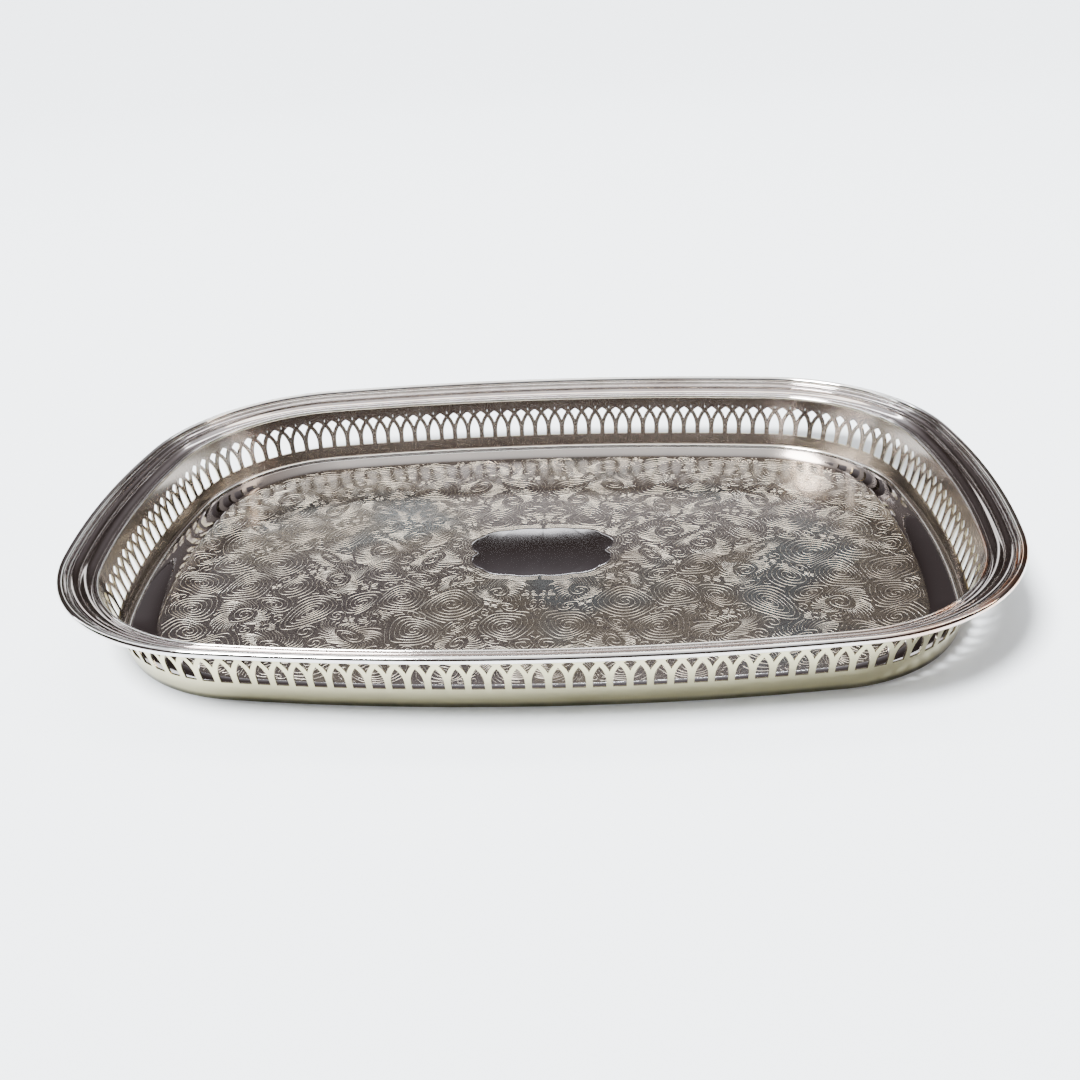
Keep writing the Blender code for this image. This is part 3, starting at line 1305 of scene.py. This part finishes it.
    def motif_lines(self, motif: Motif) -> list[list[Pair]]:
        """Choose a motif's drawing by its size and turn.

        Args:
            motif: The patch to fill.

        Returns:
            The lines.
        """
        radius = motif.radius
        if radius > self.large and motif.turn > 4.0:
            lines = self.leaves(motif, radius * 0.52, radius + self.overlap, 5)
            return lines + self.spiral(motif, radius * 0.47, 0.9 * MM, 2)
        if radius < self.large and motif.turn > 4.6:
            return self.flower(motif)
        return self.spiral(motif, radius + self.overlap, 0.7 * MM, 2)

    def trimmed(self, line: list[Pair], index: int, spots: numpy.ndarray) -> list[list[Pair]]:
        """Cut a line where it would run into another motif, the border or a plain spot.

        Args:
            line: The line's points.
            index: The row of spots that the line belongs to.
            spots: The x, y and radius of every motif.

        Returns:
            The parts of the line that are left.
        """
        places = numpy.array(line)
        across = places[:, None, 0] - spots[:, 0]
        along = places[:, None, 1] - spots[:, 1]
        away = numpy.hypot(across, along) - spots[:, 2]
        kept = (away.argmin(1) == index) & (away[:, index] < self.overlap)
        parts: list[list[Pair]] = [[]]
        for place, keep in zip(line, kept):
            plain = any(math.dist(place, spot) < self.plain_radius for spot in self.plain_spots)
            if keep and not plain and self.room(*place) > 0.1 * MM:
                parts[-1].append(place)
            elif parts[-1]:
                parts.append([])
        return [part for part in parts if len(part) > 1]

    def frame_lines(self) -> list[list[Pair]]:
        """Lines that follow the right half of the centre shield's edge.

        Returns:
            The lines.
        """
        lines = []
        for scale in self.frame_scales:
            edge = [(x * scale, y * scale) for x, y in Shield().outline() if x > 0.2 * MM]
            lines.append(sorted(edge, key=lambda place: math.atan2(place[1], place[0])))
        return lines

    def strokes(self, mirror: int) -> list[Stroke]:
        """All the strokes of one half of the floor.

        Args:
            mirror: 1 for the right half, -1 for the left.

        Returns:
            The strokes.
        """
        motifs = self.pack()
        spots = numpy.array([(motif.x, motif.y, motif.radius) for motif in motifs])
        lines = self.frame_lines()
        for index, motif in enumerate(motifs):
            for line in self.motif_lines(motif):
                parts = self.trimmed(line, index, spots)
                lines += [[self.bend(x, y) for x, y in part] for part in parts]
        found = []
        for line in lines:
            last = len(line) - 1
            points = [Vector((mirror * x, y, self.level)) for x, y in line]
            swell = [math.sin(math.pi * (0.12 + 0.76 * mark / last)) for mark in range(last + 1)]
            found.append(Stroke(points, [0.45 + 0.75 * part for part in swell]))
        return found

    def build(self) -> None:
        """Make the two halves of the scrollwork."""
        material = self.finish.build()
        section = [
            (-self.cut_width, -0.01 * MM), (0.0, self.cut_height), (self.cut_width, -0.01 * MM),
        ]
        for mirror, name in ((1, "chasing_right"), (-1, "chasing_left")):
            settle(self.workshop.draw(name, self.strokes(mirror), section, material), "floor")


@dataclass
class Floor:
    """The floor plate, its burnished border, the centre shield and the reed at its edge."""

    plan: Plan
    workshop: Workshop
    finish: ChasedFinish
    reed_finish: SilverFinish
    shield_finish: SilverFinish
    edge_inset: float = 21.4 * MM
    border: float = 11.0 * MM
    rise: float = 1.6 * MM
    thickness: float = 1.5 * MM
    reed_radius: float = 0.75 * MM
    line_steps: int = 4

    def rings(self) -> list[Pair]:
        """The plate's section from the flat of its underside to the flat of its top.

        Returns:
            Pairs of inset and height.
        """
        steps = 20
        flat = self.edge_inset + self.border
        under = []
        for step in range(steps + 1):
            part = step / steps
            climb = (1 - math.cos(part * math.pi / 2)) ** 0.9
            under.append((flat - self.border * part, self.rise * climb))
        top = [(inset, height + self.thickness) for inset, height in reversed(under)]
        inner = [(flat + extra * MM, self.thickness) for extra in (2.0, 6.0, 12.0, 24.0)]
        return under + top + inner

    def plate(self) -> bpy.types.Object:
        """The plate, with each point's inset kept for the finish.

        Returns:
            The piece.
        """
        count = self.plan.bays * self.line_steps
        marks = [self.plan.total * mark / count for mark in range(count)]
        rings = self.rings()
        shell = bmesh.new()
        layer = shell.verts.layers.float.new("inset")
        rows = []
        for inset, height in rings:
            row = [shell.verts.new(self.plan.place(mark, inset, height)) for mark in marks]
            for vertex in row:
                vertex[layer] = inset
            rows.append(row)
        for here, there in zip(rows, rows[1:]):
            for index in range(count):
                after = (index + 1) % count
                shell.faces.new((here[index], here[after], there[after], there[index]))
        shell.faces.new(rows[0])
        shell.faces.new(rows[-1])
        bmesh.ops.recalc_face_normals(shell, faces=shell.faces)
        mesh = bpy.data.meshes.new("chased_floor")
        shell.to_mesh(mesh)
        shell.free()
        mesh.materials.append(self.finish.build())
        return add_piece("chased_floor", mesh)

    def shield(self) -> bpy.types.Object:
        """The burnished field in the middle, standing a hair above the chasing.

        Returns:
            The piece.
        """
        shell = bmesh.new()
        edge = Shield().outline()
        rows = []
        for part, height in ((1.0, -0.02), (0.99, 0.06), (0.975, 0.08)):
            level = self.thickness + height * MM
            rows.append([shell.verts.new((x * part, y * part, level)) for x, y in edge])
        for here, there in zip(rows, rows[1:]):
            for index in range(len(here)):
                after = (index + 1) % len(here)
                shell.faces.new((here[index], here[after], there[after], there[index]))
        shell.faces.new(rows[0])
        shell.faces.new(rows[-1])
        bmesh.ops.recalc_face_normals(shell, faces=shell.faces)
        bmesh.ops.triangulate(shell, faces=[face for face in shell.faces if len(face.verts) > 4])
        mesh = bpy.data.meshes.new("centre_shield")
        shell.to_mesh(mesh)
        shell.free()
        mesh.materials.append(self.shield_finish.build())
        return add_piece("centre_shield", mesh)

    def build(self) -> None:
        """Make the plate, its shield and its reed."""
        settle(self.plate(), "floor", "floor_plate")
        settle(self.shield(), "floor")
        inset = self.edge_inset + 0.45 * MM
        height = self.rise + self.thickness + 0.35 * MM
        count = self.plan.bays * self.line_steps
        marks = [self.plan.total * mark / count for mark in range(count)]
        ring = [Stroke([self.plan.place(mark, inset, height) for mark in marks], closed=True)]
        section = round_section(self.reed_radius, 14)
        reed = self.workshop.draw("floor_edge_reed", ring, section, self.reed_finish.build())
        settle(reed, "floor_reed", "floor_reed")


# ---------------------------------------------------------------------------
# Stage, light and camera
# ---------------------------------------------------------------------------


@dataclass(frozen=True)
class SoftBox:
    """A soft box that faces the tray: where it hangs, its size, its power and its colour."""

    name: str
    place: tuple[float, float, float]
    size: Pair
    power: float
    colour: Colour

    def build(self) -> None:
        """Hang the lamp and turn it to the tray."""
        light = bpy.data.lights.new(self.name, "AREA")
        light.shape = "RECTANGLE"
        light.size, light.size_y = self.size
        light.energy = self.power
        light.color = self.colour
        lamp = bpy.data.objects.new(self.name, light)
        lamp.location = self.place
        lamp.rotation_euler = (-lamp.location).to_track_quat("-Z", "Y").to_euler()
        bpy.context.scene.collection.objects.link(lamp)


@dataclass
class Studio:
    """A plain pale floor, soft light from above and a darker room round about."""

    floor_reach: float = 90.0
    floor_colour: Colour = (0.78, 0.83, 0.89)
    sky_stops: tuple[tuple[float, Colour], ...] = (
        (0.0, (0.052, 0.040, 0.036)),
        (0.10, (0.026, 0.020, 0.018)),
        (0.56, (0.034, 0.026, 0.024)),
        (0.62, (0.085, 0.075, 0.078)),
        (0.70, (0.22, 0.21, 0.22)),
        (0.78, (0.60, 0.63, 0.67)),
        (0.87, (0.92, 0.95, 0.98)),
        (1.0, (1.0, 1.0, 1.0)),
    )
    sky_strength: float = 1.65
    sun_power: float = 16.5
    sun_spread: float = 20.0
    sun_way: tuple[float, float, float] = (0.44, 0.32, -1.0)
    soft_boxes: tuple[SoftBox, ...] = (
        SoftBox("top_strip", (0.0, 0.40, 1.4), (1.6, 0.32), 9.0, (1.0, 0.95, 0.85)),
        SoftBox("rear_strip", (-0.2, 1.1, 1.25), (1.3, 0.05), 4.5, (0.93, 0.97, 1.0)),
        SoftBox("rear_window", (-0.1, 1.6, 0.655), (1.8, 0.14), 2.3, (0.95, 0.98, 1.0)),
        SoftBox("left_strip", (-1.2, 0.2, 0.75), (0.06, 1.1), 4.0, (0.93, 0.97, 1.0)),
        SoftBox("right_strip", (1.1, 0.1, 0.85), (0.05, 0.8), 3.0, (1.0, 0.90, 0.78)),
    )
    camera_place: tuple[float, float, float] = (28.6 * MM, -465.2 * MM, 253.0 * MM)
    camera_yaw: float = -0.0625
    camera_pitch: float = 0.485
    camera_roll: float = -0.0542
    camera_lens: float = 38.1

    def floor(self) -> None:
        """The pale floor that the tray stands on."""
        mesh = bpy.data.meshes.new("studio_floor")
        reach = self.floor_reach
        signs = ((-1, -1), (1, -1), (1, 1), (-1, 1))
        mesh.from_pydata([(x * reach, y * reach, 0.0) for x, y in signs], [], [(0, 1, 2, 3)])
        material = bpy.data.materials.new("studio_floor")
        material.use_nodes = True
        shader = material.node_tree.nodes["Principled BSDF"]
        shader.inputs["Base Color"].default_value = (*self.floor_colour, 1.0)
        shader.inputs["Roughness"].default_value = 0.85
        shader.inputs["Specular IOR Level"].default_value = 0.2
        mesh.materials.append(material)
        stage = bpy.data.objects.new("studio_floor", mesh)
        bpy.context.scene.collection.objects.link(stage)

    def sky(self) -> None:
        """A room that is bright overhead and dark near the horizon."""
        world = bpy.data.worlds.new("studio")
        world.use_nodes = True
        bpy.context.scene.world = world
        tree = Tree(world.node_tree)
        background = world.node_tree.nodes["Background"]
        direction = tree.node("ShaderNodeTexCoord").outputs["Generated"]
        parts = tree.node("ShaderNodeSeparateXYZ", None, {0: direction})
        brightness = tree.value(parts.outputs[2]) + tree.value(parts.outputs[1]) * 0.12
        ramp = tree.node("ShaderNodeValToRGB", {"stops": self.sky_stops}, {0: brightness})
        tree.feed(background.inputs["Color"], ramp.outputs[0])
        background.inputs["Strength"].default_value = self.sky_strength

    def sun(self) -> None:
        """One large soft light, high on the left and a little in front."""
        light = bpy.data.lights.new("high_light", "SUN")
        light.energy = self.sun_power
        light.angle = math.radians(self.sun_spread)
        light.color = (1.0, 0.99, 0.97)
        lamp = bpy.data.objects.new("high_light", light)
        lamp.rotation_euler = Vector(self.sun_way).to_track_quat("-Z", "Y").to_euler()
        bpy.context.scene.collection.objects.link(lamp)

    def camera(self) -> None:
        """The camera, looking down on the tray from the front."""
        yaw, pitch, roll = self.camera_yaw, self.camera_pitch, self.camera_roll
        data = bpy.data.cameras.new("camera")
        data.sensor_width = 36.0
        data.lens = self.camera_lens
        data.clip_end = 500.0
        camera = bpy.data.objects.new("camera", data)
        camera.location = self.camera_place
        level = math.cos(pitch)
        forward = Vector((math.sin(yaw) * level, math.cos(yaw) * level, -math.sin(pitch)))
        right = Vector((math.cos(yaw), -math.sin(yaw), 0.0))
        up = right.cross(forward)
        turned_right = right * math.cos(roll) + up * math.sin(roll)
        turned_up = up * math.cos(roll) - right * math.sin(roll)
        matrix = camera.matrix_world.to_3x3()
        matrix.col[0] = turned_right
        matrix.col[1] = turned_up
        matrix.col[2] = -forward
        camera.rotation_euler = matrix.to_euler()
        bpy.context.scene.collection.objects.link(camera)
        bpy.context.scene.camera = camera

    def build(self) -> None:
        """Lay the floor, light the tray and set the camera."""
        self.floor()
        self.sky()
        self.sun()
        for box in self.soft_boxes:
            box.build()
        self.camera()


def main() -> None:
    """Build the tray's visual pieces, dress them, and set up the studio."""
    low, high = CAD_BOX
    plan = Plan(half_length=(high[0] - low[0]) / 2, half_width=(high[1] - low[1]) / 2)
    workshop = Workshop()
    rim_silver = SilverFinish("rim_silver", (0.52, 0.47, 0.455), (0.26, 0.21, 0.19), 0.06)
    bead_silver = SilverFinish(
        "bead_silver", (0.84, 0.82, 0.80), (0.45, 0.36, 0.30), 0.07, worn=(0.80, 0.42, 0.24)
    )
    # The inner-face colour and the foot colour of this finish are painted shade.
    wall_silver = SilverFinish(
        "gallery_silver", (0.61, 0.57, 0.37), (0.46, 0.42, 0.26), 0.13,
        painted_inner_shade=(0.44, 0.39, 0.35), foot=(0.10, 0.095, 0.07),
    )
    reed_silver = SilverFinish("reed_silver", (0.90, 0.88, 0.85), (0.60, 0.56, 0.50), 0.09)
    shield_silver = SilverFinish("shield_silver", (0.55, 0.53, 0.54), (0.36, 0.34, 0.34), 0.05)
    Floor(plan, workshop, ChasedFinish(), reed_silver, shield_silver).build()
    cut_silver = SilverFinish(
        "bright_cut_silver", (0.84, 0.77, 0.66), (0.36, 0.30, 0.26), 0.17,
        tarnish_amount=0.8, wipe=0.16, relief=1.0,
    )
    Chasing(plan, workshop, cut_silver).build()
    Gallery(plan, workshop, wall_silver).build()
    Rim(plan, workshop, rim_silver, bead_silver).build()
    Studio().build()


if __name__ == "__main__":
    main()
